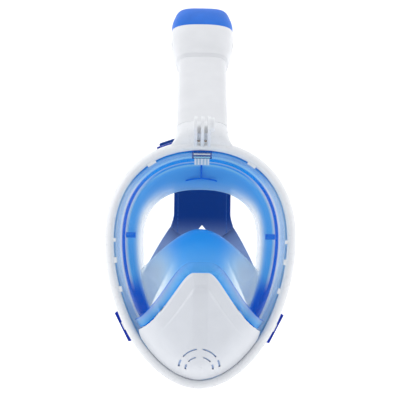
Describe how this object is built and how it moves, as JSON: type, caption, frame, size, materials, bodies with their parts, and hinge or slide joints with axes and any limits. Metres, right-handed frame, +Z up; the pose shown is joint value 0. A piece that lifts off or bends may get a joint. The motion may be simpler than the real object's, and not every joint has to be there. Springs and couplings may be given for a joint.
{
  "type": "snorkel mask",
  "caption": "Full-face snorkel mask with a clear domed lens, white chin cover, blue silicone skirt, leaning dry-top snorkel, camera mount and head harness.",
  "frame": {"origin": "centre of the face seal's opening, on the mask's widest line, where the wearer's face goes in", "axes": "+Z up, -Y the way the lens and the wearer face, +Y towards the wearer's head, +X to the viewer's right of the lens"},
  "size_m": [0.1798, 0.212, 0.3808],
  "materials": {
    "white_plastic": "glossy moulded ABS",
    "blue_plastic": "glossy moulded ABS",
    "clear_lens": "clear hard-coated polycarbonate",
    "blue_silicone": "translucent liquid silicone",
    "clear_silicone": "clear silicone",
    "navy_elastic": "woven elastic webbing",
    "white_foam": "closed-cell foam",
    "brass": "plain brass",
    "steel": "stainless pin"
  },
  "bodies": {
    "mask": {"front_frame": "white_plastic", "mount_nut": "brass", "mount_screw_left": "brass", "mount_screw_right": "brass", "rear_frame": "white_plastic", "perimeter_gasket": "blue_silicone", "lens": "clear_lens", "face_skirt": "blue_silicone", "nose_pocket": "blue_silicone", "inhale_seat_left": "white_plastic", "inhale_seat_right": "white_plastic", "purge_seat": "white_plastic", "chin_cover": "white_plastic", "inlet_duct": "blue_silicone", "air_deflector": "blue_silicone", "pocket_post_left": "blue_silicone", "pocket_post_right": "blue_silicone", "socket_gasket": "blue_silicone", "clip_pin_upper_left": "steel", "clip_pin_upper_right": "steel", "clip_pin_lower_left": "steel", "clip_pin_lower_right": "steel", "harness_pad": "navy_elastic", "strap_upper_left": "navy_elastic", "strap_upper_right": "navy_elastic", "strap_lower_left": "navy_elastic", "strap_lower_right": "navy_elastic"},
    "snorkel": {"snorkel_tube": "white_plastic", "dry_top_head": "white_plastic", "dry_top_cap": "blue_plastic", "valve_seat": "white_plastic", "lever_pin": "steel"},
    "float_lever": {"valve_lever": "white_plastic", "seal_disc": "blue_silicone", "float_block": "white_foam"},
    "exhaust_flap_left": {"exhaust_flap_left": "clear_silicone"},
    "exhaust_flap_right": {"exhaust_flap_right": "clear_silicone"},
    "inhale_flap_left": {"inhale_flap_left": "clear_silicone"},
    "inhale_flap_right": {"inhale_flap_right": "clear_silicone"},
    "purge_flap": {"purge_flap": "clear_silicone"},
    "clip_upper_left": {"clip_upper_left": "blue_plastic"},
    "clip_upper_right": {"clip_upper_right": "blue_plastic"},
    "clip_lower_left": {"clip_lower_left": "blue_plastic"},
    "clip_lower_right": {"clip_lower_right": "blue_plastic"}
  },
  "joints": [
    {"name": "snorkel_pull", "type": "slide", "parent": "mask", "child": "snorkel", "axis": [0, 0.7071, 0.7071], "range_m": [0, 0.04]},
    {"name": "float_lever_turn", "type": "hinge", "parent": "snorkel", "child": "float_lever", "pos_m": [0.0115, 0.08461, 0.20161], "axis": [0, -0.7071, 0.7071], "range_deg": [0, 13]},
    {"name": "exhaust_left_turn", "type": "hinge", "parent": "snorkel", "child": "exhaust_flap_left", "pos_m": [-0.0097, 0.07499, 0.19199], "axis": [0, 0.7071, -0.7071], "range_deg": [0, 30], "stiffness_Nm_per_rad": 0.002},
    {"name": "exhaust_right_turn", "type": "hinge", "parent": "snorkel", "child": "exhaust_flap_right", "pos_m": [0.0097, 0.07499, 0.19199], "axis": [0, -0.7071, 0.7071], "range_deg": [0, 30], "stiffness_Nm_per_rad": 0.002},
    {"name": "inhale_left_turn", "type": "hinge", "parent": "mask", "child": "inhale_flap_left", "pos_m": [-0.03286, -0.02414, -0.05708], "axis": [0.6084, -0.7937, 0], "range_deg": [0, 30], "stiffness_Nm_per_rad": 0.002},
    {"name": "inhale_right_turn", "type": "hinge", "parent": "mask", "child": "inhale_flap_right", "pos_m": [0.03286, -0.02414, -0.05708], "axis": [0.6084, 0.7937, 0], "range_deg": [0, 30], "stiffness_Nm_per_rad": 0.002},
    {"name": "purge_turn", "type": "hinge", "parent": "mask", "child": "purge_flap", "pos_m": [0, -0.04362, -0.09703], "axis": [-1, 0, 0], "range_deg": [0, 30], "stiffness_Nm_per_rad": 0.004},
    {"name": "clip_upper_left_turn", "type": "hinge", "parent": "mask", "child": "clip_upper_left", "pos_m": [-0.03279, -0.00814, 0.08482], "axis": [0.9415, -0.105, 0.3202], "range_deg": [-30, 12]},
    {"name": "clip_upper_right_turn", "type": "hinge", "parent": "mask", "child": "clip_upper_right", "pos_m": [0.03361, -0.00831, 0.08199], "axis": [0.9341, 0.109, -0.3399], "range_deg": [-30, 12]},
    {"name": "clip_lower_left_turn", "type": "hinge", "parent": "mask", "child": "clip_lower_left", "pos_m": [-0.06935, -0.00354, -0.08136], "axis": [-0.4569, 0.086, 0.8854], "range_deg": [-30, 12]},
    {"name": "clip_lower_right_turn", "type": "hinge", "parent": "mask", "child": "clip_lower_right", "pos_m": [0.06935, -0.00354, -0.08136], "axis": [-0.4569, -0.086, -0.8854], "range_deg": [-30, 12]}
  ]
}
